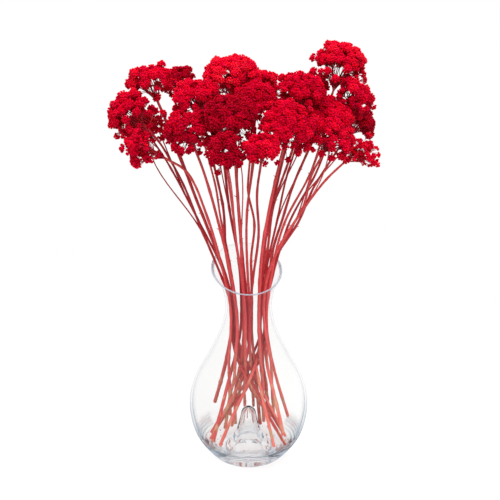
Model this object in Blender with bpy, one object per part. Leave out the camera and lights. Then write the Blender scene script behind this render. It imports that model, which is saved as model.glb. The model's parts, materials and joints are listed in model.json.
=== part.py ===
"""Dried yarrow, dyed red, standing in a clear glass carafe with a slanted mouth.

One rigid group: the carafe, every stalk, and the flat flower head that each stalk carries.
Sizes in the tables are millimetres and become metres when a mesh is made.
The origin is the middle of the carafe's foot on the table, with +Z up and -Y to the front.
"""

import math
import random
from collections import namedtuple

import bmesh
import bpy
import numpy as np

MM = 0.001
GAP = 0.3                   # left between pieces that touch
SEAT = 0.5                  # between a stalk's foot and the ideal round glass, whose flats lie closer
CLEARANCE = 0.6             # least space between two stalks, or a stalk and the glass

# Carafe. Profiles are (radius, height) points that a smooth line runs through.
VASE_SIDES = 40
OUTER_WALL = [(42, 0), (58, 10.5), (83, 45), (92.3, 90),
              (84.5, 130), (63.5, 170), (45, 208), (37, 236)]
INNER_WALL = [(45, 20), (65, 26.5), (80.5, 48), (88.7, 90),
              (81.5, 130), (60.3, 170), (41.8, 208), (33.8, 236)]
PUNT_TOP = [(0, 84), (9.5, 78), (14, 60), (19, 38), (30, 23), (45, 20)]
PUNT_BELOW = [(34, 0), (24, 13), (15.5, 34), (10.5, 56), (6.5, 73), (0, 79.5)]
NECK_TOP = 252              # where the mouth starts to flare
NECK_RADIUS = 36
WALL = 3
MOUTH_HEIGHT = 307          # middle of the slanted rim
MOUTH_RADIUS = 53.8
MOUTH_SLANT = math.radians(26)
MOUTH_TURN = math.radians(6.6)
MOUTH_SHIFT = -2.8          # the rim sits this far off the foot's axis
WALL_RINGS = 13
PUNT_RINGS = 6
FLARE_RINGS = 5

# Stalks
STALK_POINTS = 20
STALK_TAPER = 0.64          # thickness at the head over thickness at the foot
NECK_MIDDLE = (0, 0, 250)   # stalks spread from about here
NECK_REACH = 29             # how far off the axis the outer stalks run through the neck
SPREAD_REACH = 110          # a head this far off the axis, or farther, has such an outer stalk
WAIST_HEIGHT = 172          # below the neck the stalks stay together down to here
END_LENGTH = 8              # straight end of a stalk, square to its head
BEND_LENGTH = 45            # length over which a stalk turns towards its head
SWAY = 5.5                  # how far a stalk wanders off its smooth line
RIGHT_BOW = 13              # how far the outer right-hand stalks bow in halfway between neck and head
LEFT_BOW = 6                # the same on the left
LAYOUT_ROUNDS = 260         # rounds of easing apart
EASING_ROUNDS = 208         # the first of them, in which neighbouring points also move together
EVENING = 0.25              # share of their difference that neighbouring points even out in a round
LONGEST_PUSH = 6            # most that a stalk moves off the glass or out of a head in a round
PAIR_SHARE = 0.3            # share of a missing gap between two stalks that each makes up in a round
NEAR_STEPS = 4              # stalk pieces compare with pieces this many steps up or down
HEAD_MARGIN = 1.5           # kept between a stalk and another stalk's head
SEED = 24

# Flower heads
LOBE_STEPS = 3              # points around each lobe of a head
HEAD_RINGS = [(0.30, 0.17), (0.62, 0.50), (0.90, 0.87)]    # underside: share of reach, of radius
DOME_ANGLES = [32, 62]
LOBE_DEPTH = 0.07
FLUTE_DEPTH = 0.10
BIG_HEAD = 32               # heads wider than this have one lobe more

# What stands in for a head while the bouquet is laid out, in shares of its radius:
# balls keep the heads apart, and discs (share of the way up, radius) keep the stalks out.
HEAD_ROUNDS = 80
RING_PLACE = 0.62
RING_BALL = 0.43
MIDDLE_BALL = 0.50
HEAD_DISCS = [(0.25, 0.24), (0.5, 0.52), (0.75, 0.85), (1.0, 1.1)]

Stalk = namedtuple("Stalk", "x y z radius reach dome lean_right lean_front thick foot_angle foot_radius")

# Each stalk: the middle of its flower head, the head's radius, how far the head reaches above
# its joint, dome height over radius, the head's lean in degrees, the stalk's thickness, and
# where its foot stands on the carafe's floor (degrees from +X, millimetres from the axis).
STALKS = [
    # front, right of the middle
    Stalk(54, -104, 527, 37, 30, 0.50, 6, 36, 6.4, 67, 66),
    Stalk(106, -84, 520, 31, 27, 0.50, 26, 26, 5.4, 56, 76),
    Stalk(21, -130, 513, 24, 26, 0.50, 4, 40, 5.4, 84, 80),
    # right, behind those
    Stalk(70, -26, 572, 35, 32, 0.50, 8, 20, 6.2, 59, 69),
    Stalk(118, -14, 550, 31, 28, 0.45, 20, 26, 5.2, 116, 79),
    Stalk(137, 44, 613, 37, 40, 0.70, 12, -10, 5.6, 160, 64),
    Stalk(160, 8, 567, 28, 30, 0.45, 36, 6, 4.8, 150, 62),
    Stalk(166, 68, 528, 32, 32, 0.45, 30, -10, 5.4, -124, 79),
    Stalk(183, 14, 487, 30, 46, 0.45, 70, 10, 5.4, 33, 79),
    Stalk(98, 76, 580, 26, 26, 0.50, 8, -8, 4.8, 178, 60),
    # middle
    Stalk(-29, 14, 594, 42, 36, 0.45, -2, 18, 6.4, 72, 61),
    Stalk(10, 76, 588, 33, 32, 0.50, 6, -8, 5.2, -60, 79),
    Stalk(-68, -20, 576, 32, 32, 0.45, -14, 18, 5.8, 24, 60),
    Stalk(16, -44, 566, 30, 30, 0.45, 4, 26, 5.2, 118, 58),
    Stalk(-18, -82, 550, 34, 30, 0.50, -4, 38, 6.0, 111, 62),
    Stalk(-84, -76, 527, 31, 32, 0.50, -16, 32, 6.0, 132, 58),
    Stalk(-22, -142, 504, 25, 26, 0.50, -4, 46, 5.2, 95, 70),
    # left
    Stalk(-147, 20, 590, 30, 36, 0.60, -18, 8, 6.6, 133, 84),
    Stalk(-180, -16, 551, 33, 38, 0.35, -54, 4, 5.2, -18, 60),
    Stalk(-162, 36, 527, 25, 28, 0.40, -30, 6, 4.8, 45, 60),
    Stalk(-169, -54, 496, 30, 52, 0.35, -86, 10, 5.6, 115, 74),
    Stalk(-111, 82, 588, 25, 28, 0.45, -34, -10, 4.6, 12, 60),
    # back
    Stalk(84, 122, 530, 36, 32, 0.50, 14, -32, 6.2, -50, 84),
    Stalk(-54, 126, 538, 38, 32, 0.50, -12, -34, 6.2, -134, 80),
]

GLASS_COLOUR = (0.80, 0.86, 0.90)
STALK_COLOUR = (0.46, 0.045, 0.055)
FLOWER_COLOUR = (0.62, 0.004, 0.016)


# ---------------------------------------------------------------- small tools

def unit(vectors):
    """Scale vectors to length 1."""
    vectors = np.asarray(vectors, dtype=float)
    return vectors / np.linalg.norm(vectors, axis=-1, keepdims=True)


def smooth_line(points, count):
    """Read count evenly spaced points from a smooth (Catmull-Rom) line through the given points."""
    points = np.asarray(points, dtype=float)
    first = 2 * points[0] - points[1]
    last = 2 * points[-1] - points[-2]
    p = np.vstack([first, points, last])
    t = np.linspace(0, 1, 24, endpoint=False)[:, None]
    fine = []
    for a, b, c, d in zip(p[:-3], p[1:-2], p[2:-1], p[3:]):
        fine.append(0.5 * (2 * b + (c - a) * t + (2 * a - 5 * b + 4 * c - d) * t ** 2
                           + (3 * b - a - 3 * c + d) * t ** 3))
    fine = np.vstack(fine + [points[-1:]])
    along = np.concatenate([[0], np.cumsum(np.linalg.norm(np.diff(fine, axis=0), axis=1))])
    places = np.linspace(0, along[-1], count)
    return np.column_stack([np.interp(places, along, column) for column in fine.T])


def across(axis):
    """Two directions square to an axis and to each other."""
    side = unit(np.cross(axis, (0.3, 1, 0.1)))
    return side, np.cross(axis, side)


def circle(axis, radius, count):
    """Evenly spaced points around an axis, given from the circle's middle."""
    side, other = across(axis)
    turns = np.linspace(0, math.tau, count, endpoint=False)[:, None]
    return radius * (np.cos(turns) * side + np.sin(turns) * other)


def new_object(name, mesh, colour, roughness, transmission=0.0):
    """Put a mesh in the scene as a sub-part with a material of its own."""
    material = bpy.data.materials.new(name + "_finish")
    material.use_nodes = True
    shader = material.node_tree.nodes["Principled BSDF"]
    shader.inputs["Base Color"].default_value = (*colour, 1)
    shader.inputs["Roughness"].default_value = roughness
    shader.inputs["Metallic"].default_value = 0
    shader.inputs["Transmission Weight"].default_value = transmission
    mesh.materials.append(material)
    piece = bpy.data.objects.new(name, mesh)
    bpy.context.collection.objects.link(piece)
    return piece


# ---------------------------------------------------------------- carafe

def flare(radius, turned):
    """Radius of the flaring mouth at a height of the upright (not yet slanted) carafe."""
    share = (turned - NECK_TOP) / (MOUTH_HEIGHT - NECK_TOP)
    return radius + (MOUTH_RADIUS - NECK_RADIUS) * share ** 2


def inner_profile():
    """The glass surface that holds the stalks, from the punt's tip out, up and over to the rim."""
    punt = smooth_line(PUNT_TOP, PUNT_RINGS + 2)
    wall = smooth_line(INNER_WALL + [(NECK_RADIUS - WALL, NECK_TOP)], WALL_RINGS + 1)
    heights = np.linspace(NECK_TOP, MOUTH_HEIGHT, FLARE_RINGS + 1)[1:]
    mouth = [(flare(NECK_RADIUS - WALL, z), z) for z in heights]
    return np.vstack([punt, wall[1:], mouth])


def outer_profile():
    """The outside of the carafe, from the foot's edge up to the rim."""
    wall = smooth_line(OUTER_WALL + [(NECK_RADIUS, NECK_TOP)], WALL_RINGS + 1)
    heights = np.linspace(NECK_TOP, MOUTH_HEIGHT, FLARE_RINGS + 1)[1:]
    mouth = [(flare(NECK_RADIUS, z), z) for z in heights]
    return np.vstack([wall, mouth])


def rim_height(angle):
    """Height of the slanted rim around the mouth: low at the front, high at the back."""
    return MOUTH_HEIGHT + math.tan(MOUTH_SLANT) * MOUTH_RADIUS * np.sin(angle - MOUTH_TURN)


def slant(point):
    """Move one point of the upright carafe to its place in the carafe with the slanted mouth."""
    x, y, z = point
    if z <= NECK_TOP:
        return x, y, z
    share = (z - NECK_TOP) / (MOUTH_HEIGHT - NECK_TOP)
    top = rim_height(math.atan2(y, x))
    return x + MOUTH_SHIFT * share ** 2, y, NECK_TOP + share * (top - NECK_TOP)


def make_vase():
    """Turn the glass profile about the axis, then slant the mouth."""
    below = smooth_line(PUNT_BELOW, PUNT_RINGS + 1)[::-1]
    outer = outer_profile()
    inner = inner_profile()[::-1]
    middle = (outer[-1] + inner[0]) / 2
    lip = [middle + WALL / 2 * np.array([math.cos(a), math.sin(a)]) for a in np.radians([45, 90, 135])]
    profile = np.vstack([below, outer, lip, inner])

    shape = bmesh.new()
    corners = [shape.verts.new((r * MM, 0, z * MM)) for r, z in profile]
    edges = [shape.edges.new(pair) for pair in zip(corners, corners[1:])]
    bmesh.ops.spin(shape, geom=corners + edges, axis=(0, 0, 1), cent=(0, 0, 0),
                   angle=math.tau, steps=VASE_SIDES, use_merge=True)
    bmesh.ops.remove_doubles(shape, verts=shape.verts, dist=1e-6)
    for corner in shape.verts:
        corner.co = [MM * value for value in slant([value / MM for value in corner.co])]
    bmesh.ops.triangulate(shape, faces=shape.faces)
    bmesh.ops.recalc_face_normals(shape, faces=shape.faces)
    mesh = bpy.data.meshes.new("vase")
    shape.to_mesh(mesh)
    shape.free()
    mesh.shade_smooth()
    new_object("vase", mesh, GLASS_COLOUR, 0.02, transmission=1.0)


# ---------------------------------------------------------------- laying out the bouquet

def room_in_vase(points):
    """Distance from each point to the inner glass, and the direction that leads away from it."""
    x, y, z = points.T
    top = rim_height(np.arctan2(y, x))
    share = np.clip((z - NECK_TOP) / (top - NECK_TOP), 0, None)
    turned = np.where(z > NECK_TOP, NECK_TOP + share * (MOUTH_HEIGHT - NECK_TOP), z)
    x = x - MOUTH_SHIFT * np.minimum(share, 1) ** 2
    radius = np.hypot(x, y) + 1e-9
    flat = np.column_stack([radius, turned])

    line = inner_profile()
    start, run = line[:-1], np.diff(line, axis=0)
    offset = flat[:, None] - start[None]
    share = np.clip((offset * run).sum(-1) / (run ** 2).sum(-1), 0, 1)
    away = offset - share[..., None] * run
    distance = np.linalg.norm(away, axis=-1)
    nearest = distance.argmin(axis=1)
    rows = np.arange(len(points))
    away = away[rows, nearest]
    distance = distance[rows, nearest]
    side = np.sign(run[nearest, 0] * offset[rows, nearest, 1] - run[nearest, 1] * offset[rows, nearest, 0])
    side = np.where(turned > MOUTH_HEIGHT, 1, side)
    away = away * (side / (distance + 1e-9))[:, None]
    direction = np.column_stack([away[:, 0] * x / radius, away[:, 0] * y / radius, away[:, 1]])
    return distance * side, direction


def head_centres():
    """Middles of the flower heads, eased apart until no two heads share the same space."""
    centres = np.array([(s.x, s.y, s.z) for s in STALKS], dtype=float)
    sizes = np.array([s.radius for s in STALKS])
    balls = []
    for stalk, normal in zip(STALKS, head_normals()):
        under = -0.35 * stalk.reach * normal
        over = 0.1 * stalk.radius * normal
        balls.append(np.vstack([under, over, circle(normal, RING_PLACE * stalk.radius, 8)]))
    ball_sizes = np.array([MIDDLE_BALL] * 2 + [RING_BALL] * 8)
    for _ in range(HEAD_ROUNDS):
        for i in range(len(STALKS)):
            for j in range(i + 1, len(STALKS)):
                gap = (centres[i] + balls[i])[:, None] - (centres[j] + balls[j])[None]
                need = ball_sizes[:, None] * sizes[i] + ball_sizes[None] * sizes[j] + 1
                overlap = (need - np.linalg.norm(gap, axis=-1)).max()
                if overlap > 0:
                    push = unit(centres[i] - centres[j]) * overlap / 4
                    centres[i] += push
                    centres[j] -= push
    return centres


def head_normals():
    """The way each flower head faces."""
    leans = np.radians([(s.lean_right, s.lean_front) for s in STALKS])
    return unit(np.column_stack([np.tan(leans[:, 0]), -np.tan(leans[:, 1]), np.ones(len(STALKS))]))


def lay_out():
    """Place every head, joint and stalk, and return each one's parts of the bouquet."""
    normals = head_normals()
    centres = head_centres()
    spreads = unit(centres - np.array(NECK_MIDDLE))
    arms = unit(3 * normals + spreads)
    joints = centres - arms * np.array([s.reach for s in STALKS])[:, None]
    ends = unit(arms + spreads)
    lines = settle(first_lines(joints, ends, spreads), centres, joints)
    return zip(STALKS, lines, centres, normals, joints, ends)


def first_lines(joints, ends, spreads):
    """Run each stalk from its foot through the neck to its joint, before it makes way for others."""
    rng = random.Random(SEED)
    floor = smooth_line(INNER_WALL[:4], 40)      # from the punt out to the widest place
    lines = []
    for stalk, joint, end, spread in zip(STALKS, joints, ends, spreads):
        angle = math.radians(stalk.foot_angle)
        height = np.interp(stalk.foot_radius, floor[:, 0], floor[:, 1]) + stalk.thick / 2
        foot = np.array([stalk.foot_radius * math.cos(angle), stalk.foot_radius * math.sin(angle), height])
        sideways = joint[:2] * NECK_REACH / max(SPREAD_REACH, np.linalg.norm(joint[:2]))
        through = np.array([*sideways, NECK_MIDDLE[2]])
        waist = np.array([*(0.9 * sideways + 0.1 * foot[:2]), WAIST_HEIGHT])
        top = joint - END_LENGTH * end
        below = top - BEND_LENGTH * unit(end + spread)
        halfway = (through + below) / 2
        halfway[0] -= (RIGHT_BOW if sideways[0] > 0 else LEFT_BOW) * sideways[0] / NECK_REACH
        line = smooth_line([foot, waist, through, halfway, below, top], STALK_POINTS - 1)
        line = np.vstack([line, joint - GAP * end])
        sideways = np.array([rng.uniform(-1, 1), rng.uniform(-1, 1), 0])
        beats = rng.uniform(1.5, 3.5)
        share = np.linspace(0, math.pi, STALK_POINTS)
        wave = SWAY * np.sin(beats * share) * np.sin(share) ** 2
        lines.append(line + wave[:, None] * sideways)
    return np.array(lines)


def stalk_radii():
    """Radius of every stalk at every point, thinner towards the head."""
    foot = np.array([s.thick / 2 for s in STALKS])
    return foot[:, None] * np.linspace(1, STALK_TAPER, STALK_POINTS)[None]


def head_discs(centres, joints):
    """Flat discs that stand in for the flower heads while the stalks are laid out."""
    discs = []
    for stalk, centre, joint, normal in zip(STALKS, centres, joints, head_normals()):
        for share, width in HEAD_DISCS:
            discs.append((joint + share * (centre - joint), normal, width * stalk.radius, 0.2 * stalk.reach))
        discs.append((centre + 0.3 * stalk.radius * normal, normal, 0.95 * stalk.radius, 0.25 * stalk.radius))
    return discs


def neighbours():
    """Every two stalk pieces that may meet: stalk i's piece k and stalk j's piece m."""
    first, second = np.triu_indices(len(STALKS), 1)
    steps = np.arange(STALK_POINTS - 1)
    k, m = [grid.ravel() for grid in np.meshgrid(steps, steps)]
    near = np.abs(k - m) <= NEAR_STEPS
    k, m = k[near], m[near]
    return np.repeat(first, len(k)), np.tile(k, len(first)), np.repeat(second, len(m)), np.tile(m, len(first))


def settle(lines, centres, joints):
    """Ease the stalks apart, out of the flower heads and off the glass."""
    radii = stalk_radii()
    rest = lines.copy()
    pairs = neighbours()
    discs = head_discs(centres, joints)
    owner = np.arange(len(discs)) // (len(HEAD_DISCS) + 1)

    for step in range(LAYOUT_ROUNDS):
        moved = lines - rest
        if step < EASING_ROUNDS:
            middle = (moved[:, :-2] + moved[:, 2:]) / 2
            moved[:, 1:-1] += EVENING * (middle - moved[:, 1:-1])
        moved[:, -2:] = 0
        lines = rest + moved

        push = np.zeros_like(lines)
        split_pairs(lines, push, radii, pairs)
        for disc, own in zip(discs, owner):
            leave_disc(lines, push, radii, disc, own)
        push[:, -2:] = 0
        lines = lines + push

        for half in (0.0, 0.5):
            points = lines[:, :-1] * (1 - half) + lines[:, 1:] * half
            wall = radii[:, :-1] + SEAT + CLEARANCE / 2
            room, direction = room_in_vase(points.reshape(-1, 3))
            short = np.clip(wall.reshape(-1) - room, 0, LONGEST_PUSH)
            shift = (short[:, None] * direction).reshape(points.shape)
            lines[:, :-3] += shift[:, :-2] * (1 if half == 0 else 0.6)
            lines[:, 1:-2] += shift[:, :-2] * (0 if half == 0 else 0.6)
    return seat_feet(lines, radii)


def seat_feet(lines, radii):
    """Slide each foot along its own stalk until its end stands on the glass."""
    for line, radius in zip(lines, radii[:, 0]):
        along = unit(line[0] - line[1])
        edge = circle(along, radius, 12)
        for _ in range(15):
            room, _ = room_in_vase(line[0] + edge)
            line[0] += (room.min() - SEAT) * along
    return lines


def split_pairs(lines, push, radii, pairs):
    """Push two stalks apart where they pass closer than they may."""
    i, k, j, m = pairs
    need = radii[i, k] + radii[j, m] + CLEARANCE
    a, b = lines[i, k], lines[j, m]
    u, v = lines[i, k + 1] - a, lines[j, m + 1] - b
    w = a - b
    uu, uv, vv = (u * u).sum(-1), (u * v).sum(-1), (v * v).sum(-1)
    uw, vw = (u * w).sum(-1), (v * w).sum(-1)
    s = np.clip((uv * vw - vv * uw) / np.maximum(uu * vv - uv * uv, 1e-9), 0, 1)
    t = np.clip((uv * s + vw) / vv, 0, 1)
    s = np.clip((uv * t - uw) / uu, 0, 1)
    gap = w + s[:, None] * u - t[:, None] * v
    distance = np.linalg.norm(gap, axis=1)
    close = distance < need
    if not close.any():
        return
    i, k, j, m, s, t = i[close], k[close], j[close], m[close], s[close], t[close]
    direction = gap[close] / (distance[close, None] + 1e-6)
    shift = direction * ((need - distance)[close] * PAIR_SHARE)[:, None]
    np.add.at(push, (i, k), shift * (1 - s)[:, None])
    np.add.at(push, (i, k + 1), shift * s[:, None])
    np.add.at(push, (j, m), -shift * (1 - t)[:, None])
    np.add.at(push, (j, m + 1), -shift * t[:, None])


def leave_disc(lines, push, radii, disc, own):
    """Push stalks sideways out of a disc of a flower head that isn't theirs."""
    centre, normal, width, half = disc
    for blend in (0.0, 0.5):
        points = lines[:, :-1] * (1 - blend) + lines[:, 1:] * blend
        offset = points - centre
        height = offset @ normal
        sideways = offset - height[..., None] * normal
        distance = np.linalg.norm(sideways, axis=-1)
        short = width + radii[:, :-1] + HEAD_MARGIN - distance
        inside = (np.abs(height) < half + radii[:, :-1]) & (short > 0)
        inside[own] = False
        size = np.where(inside, np.minimum(short, LONGEST_PUSH) / 2, 0) / (distance + 1e-6)
        shift = size[..., None] * sideways
        push[:, :-1] += shift * (1 - blend)
        push[:, 1:] += shift * blend


# ---------------------------------------------------------------- stalks and flower heads

def make_stalk(name, stalk, line):
    """A thin tapering stem as a bevelled curve with closed ends."""
    curve = bpy.data.curves.new(name, "CURVE")
    curve.dimensions = "3D"
    curve.bevel_depth = stalk.thick / 2 * MM
    curve.bevel_resolution = 1
    curve.use_fill_caps = True
    spline = curve.splines.new("POLY")
    spline.points.add(len(line) - 1)
    for place, share, point in zip(line, np.linspace(1, STALK_TAPER, len(line)), spline.points):
        point.co = (*(place * MM), 1)
        point.radius = share
    new_object(name, curve, STALK_COLOUR, 0.6)


def head_rings(stalk, centre, normal, joint, start, turn):
    """Rings of points from a head's joint, up its fluted underside and over its domed top."""
    lobes = 6 if stalk.radius > BIG_HEAD else 5
    bend = joint + start * stalk.reach / 2
    side, _ = across(normal)
    rings = []

    def ring(middle, facing, radius, lobe=LOBE_DEPTH, flute=0.0):
        first = unit(side - (side @ facing) * facing)
        second = np.cross(facing, first)
        points = []
        for angle in np.linspace(0, math.tau, lobes * LOBE_STEPS, endpoint=False):
            wave = math.cos(lobes * angle + turn)
            outward = math.cos(angle) * first + math.sin(angle) * second
            points.append(middle + radius * (1 + lobe * wave) * outward - flute * wave * facing)
        rings.append(points)

    ring(joint, start, stalk.thick / 2 * STALK_TAPER + 0.4, lobe=0)
    for share, width in HEAD_RINGS:
        middle = (1 - share) ** 2 * joint + 2 * share * (1 - share) * bend + share ** 2 * centre
        facing = unit(start + (normal - start) * min(1, share * 1.6))
        ring(middle, facing, width * stalk.radius, LOBE_DEPTH * share, FLUTE_DEPTH * stalk.reach * share)
    ring(centre, normal, stalk.radius)
    for angle in np.radians(DOME_ANGLES):
        rise = math.sin(angle) * stalk.dome * stalk.radius
        ring(centre + rise * normal, normal, math.cos(angle) * stalk.radius)
    return rings


def make_head(name, stalk, centre, normal, joint, start, turn):
    """A lobed parasol: a narrow joint, a fluted underside and a domed top."""
    shape = bmesh.new()
    loops = []
    for points in head_rings(stalk, centre, normal, joint, start, turn):
        loops.append([shape.verts.new(point * MM) for point in points])
    shape.faces.new(reversed(loops[0]))
    for low, high in zip(loops, loops[1:]):
        for n in range(len(low)):
            shape.faces.new((low[n - 1], low[n], high[n], high[n - 1]))
    peak = shape.verts.new((centre + stalk.dome * stalk.radius * normal) * MM)
    for n in range(len(loops[-1])):
        shape.faces.new((loops[-1][n - 1], loops[-1][n], peak))
    bmesh.ops.triangulate(shape, faces=shape.faces)
    mesh = bpy.data.meshes.new(name)
    shape.to_mesh(mesh)
    shape.free()
    mesh.shade_smooth()
    new_object(name, mesh, FLOWER_COLOUR, 0.85)


def main():
    for old in list(bpy.data.objects):
        bpy.data.objects.remove(old, do_unlink=True)
    make_vase()
    rng = random.Random(SEED + 1)
    for number, (stalk, line, centre, normal, joint, end) in enumerate(lay_out(), start=1):
        make_stalk(f"stalk_{number:02d}", stalk, line)
        make_head(f"flower_head_{number:02d}", stalk, centre, normal, joint, end, rng.uniform(0, math.tau))


main()
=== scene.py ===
"""Dried yarrow in a glass carafe: the florets, branches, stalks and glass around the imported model."""

import json
import math
import random

import bmesh
import bpy
import numpy as np
from bpy.props import FloatProperty, FloatVectorProperty, IntProperty, PointerProperty
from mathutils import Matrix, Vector, noise

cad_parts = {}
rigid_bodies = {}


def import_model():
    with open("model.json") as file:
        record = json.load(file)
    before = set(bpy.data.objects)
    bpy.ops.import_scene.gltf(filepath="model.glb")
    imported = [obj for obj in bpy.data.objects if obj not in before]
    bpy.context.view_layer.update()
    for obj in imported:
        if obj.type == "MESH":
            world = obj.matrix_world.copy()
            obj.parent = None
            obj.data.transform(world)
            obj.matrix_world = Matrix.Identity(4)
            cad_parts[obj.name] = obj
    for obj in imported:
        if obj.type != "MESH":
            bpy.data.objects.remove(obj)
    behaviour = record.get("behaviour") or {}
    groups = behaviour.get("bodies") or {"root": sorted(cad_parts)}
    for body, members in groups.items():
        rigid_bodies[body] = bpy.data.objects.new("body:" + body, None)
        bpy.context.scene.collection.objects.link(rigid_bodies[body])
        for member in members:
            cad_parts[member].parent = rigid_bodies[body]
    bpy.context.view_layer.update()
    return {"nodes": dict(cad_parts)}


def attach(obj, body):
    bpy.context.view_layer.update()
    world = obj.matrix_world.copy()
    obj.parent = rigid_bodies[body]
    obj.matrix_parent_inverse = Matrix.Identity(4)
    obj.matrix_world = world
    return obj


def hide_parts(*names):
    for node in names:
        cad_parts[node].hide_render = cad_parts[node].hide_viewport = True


bl_info = {
    "name": "Dried yarrow in a carafe",
    "version": (1, 0, 0),
    "blender": (4, 5, 0),
    "location": "View3D > Sidebar > Yarrow",
    "description": "Dresses the packed carafe, stalks and flower heads in glass, ribs and florets",
    "category": "Object",
}

MM = 0.001
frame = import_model()
STALKS = sorted(name for name in frame["nodes"] if name.startswith("stalk_"))

# What differs from head to head, from head 01 to head 24.
# Its tone says how lightly it is dyed, with painted light and shade in it: heads deep in the bouquet are
# painted darker and the top ones lighter. RIM_ROWS says how many rows of clusters hang down its sides.
TONES_AND_PAINTED_LIGHT = (0.48, 0.50, 0.60, 0.42, 0.48, 0.72, 0.50, 0.08, 0.75, 0.52, 0.76, 0.68,
         0.55, 0.30, 0.02, 0.32, 0.03, 0.55, 0.55, 0.52, 0.50, 0.10, 0.20, 0.06)
RIM_ROWS = (3, 2, 1, 3, 2, 2, 2, 1, 0, 3, 4, 3, 2, 3, 3, 2, 1, 1, 3, 4, 0, 1, 2, 3)
LOOSE_HEADS = {"09": 0.62, "21": 0.85}      # open sprays, and the size of their clusters
COARSE_HEADS = {"09": 1.2, "16": 1.25, "20": 1.45, "21": 1.45}      # heads whose florets grew bigger

# The rows at a rim: lowest and highest share of the way from the joint to the head's middle, then
# nearest and farthest share of the head's radius.
RIM_BANDS = ((0.42, 0.85, 0.62, 0.92), (0.0, 0.45, 0.62, 0.92), (-0.45, 0.1, 0.62, 0.92),
             (0.3, 0.75, 0.2, 0.6))
TOP_SIZES = (0.65, 1.3)     # smallest and largest cluster of a canopy, over the usual radius
RIM_SIZES = (0.5, 0.9)      # the same for the clusters at a rim
BASE_DEPTHS = (7, 10)       # how far a branch ends below its cluster's middle, in millimetres
DOME_RISE = 0.80            # height of a cluster above its middle, over its radius
DOME_DEPTH = 0.3            # the same for its closed underside
CLUSTERS_A_BRANCH = 3.2     # clusters that one main branch forks to
LEAF_TURN = 2.4             # turn from one leaf to the next, in radians
SWAY = 2.8                  # how far a stalk strays to either side, in millimetres
SWAY_FROM = 0.31            # height above which stalks may stray, about that of the mouth
STUBS_FROM = 0.30           # height above which leaf stubs are left on the stalks
STUB_CHANCE = 0.6           # share of the leaves that left a stub there


# ---- settings a user would change

def length(name, description, millimetres):
    """A setting for a length."""
    return FloatProperty(name=name, description=description, default=millimetres * MM, unit="LENGTH")


def tint(name, description, *default):
    """A setting for a colour."""
    return FloatVectorProperty(name=name, description=description, default=default, size=3, subtype="COLOR")


class FlowerSettings(bpy.types.PropertyGroup):
    """Sizes of the flower heads."""
    cluster_spacing: length("Cluster spacing", "Between the floret clusters of a head", 9.6)
    cluster_radius: length("Cluster radius", "Radius of one cluster of florets", 7.2)
    floret_spacing: length("Floret spacing", "Between the florets of a cluster", 2.76)
    floret_size: length("Floret size", "Diameter of one button-shaped floret", 3.6)
    pedicel_thickness: length("Pedicel thickness", "Thickness of a floret's own stem", 0.55)
    branch_thickness: length("Branch thickness", "Thickness of a head's main branches", 1.7)
    crumbs: FloatProperty(name="Crumbs", description="Fallen florets on a square metre", default=5000)
    seed: IntProperty(name="Seed", description="Changes how the florets fall", default=7, min=0)


class StalkSettings(bpy.types.PropertyGroup):
    """Sizes of the stalks."""
    rib_count: IntProperty(name="Ribs", description="Ribs around a stalk", default=7, min=3)
    rib_depth: FloatProperty(name="Rib depth", description="Depth of the ribs over the stalk's radius",
                             default=0.09, subtype="FACTOR")
    step: length("Step", "Length of one step along a stalk", 5)


class CarafeSettings(bpy.types.PropertyGroup):
    """Sizes of the glass."""
    sides: IntProperty(name="Sides", description="Steps round the glass", default=96, min=24)
    wall: length("Wall", "Thickness of the glass wall", 3)
    slant: FloatProperty(name="Mouth slant", description="Tilt of the cut mouth",
                         default=math.radians(26), subtype="ANGLE")
    turn: FloatProperty(name="Mouth turn", description="How far the low side turns from the front",
                        default=math.radians(6.6), subtype="ANGLE")


class ColourSettings(bpy.types.PropertyGroup):
    """Colours of the dye and the glass."""
    # Both floret colours are mixed by the shade a floret carries, which holds painted light and shade as
    # well as dye.
    floret_bright: tint("Bright floret", "Dye where it took lightly", 0.78, 0.0, 0.029)
    floret_deep: tint("Deep floret", "Dye where it took deeply", 0.30, 0.0, 0.011)
    stalk: tint("Stalk", "Dyed stalk where it took lightly", 0.93, 0.112, 0.112)
    stalk_deep: tint("Deep stalk", "Dyed stalk where it took deeply", 0.56, 0.030, 0.042)
    branch: tint("Branch", "Dyed branch where it took lightly", 0.60, 0.022, 0.040)
    branch_deep: tint("Deep branch", "Dyed branch where it took deeply", 0.34, 0.006, 0.016)
    stalk_foot: tint("Stalk foot", "Paler stalk near its cut end", 0.96, 0.260, 0.195)
    bare_stem: tint("Bare stem", "Patches where the dye missed", 0.66, 0.47, 0.27)
    glass: tint("Glass", "Tint of the glass seen straight on", 0.972, 0.974, 0.974)
    glass_edge: tint("Glass edge", "Tint of the glass seen edge on", 0.85, 0.89, 0.925)


# ---- node trees written as sums

class Value:
    """One output of a node, for sums such as 1 - mask * 0.5."""

    def __init__(self, nodes, socket):
        self.nodes = nodes
        self.socket = socket

    def output(self, name):
        """Another output of the same node."""
        return Value(self.nodes, self.socket.node.outputs[name])

    def math(self, operation, first, second):
        return self.nodes.node("ShaderNodeMath", {"operation": operation}, {0: first, 1: second})

    def __add__(self, other):
        return self.math("ADD", self, other)

    def __radd__(self, other):
        return self.math("ADD", other, self)

    def __sub__(self, other):
        return self.math("SUBTRACT", self, other)

    def __rsub__(self, other):
        return self.math("SUBTRACT", other, self)

    def __mul__(self, other):
        return self.math("MULTIPLY", self, other)

    def __rtruediv__(self, other):
        return self.math("DIVIDE", other, self)

    def __mod__(self, other):
        return self.math("MODULO", self, other)


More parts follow.
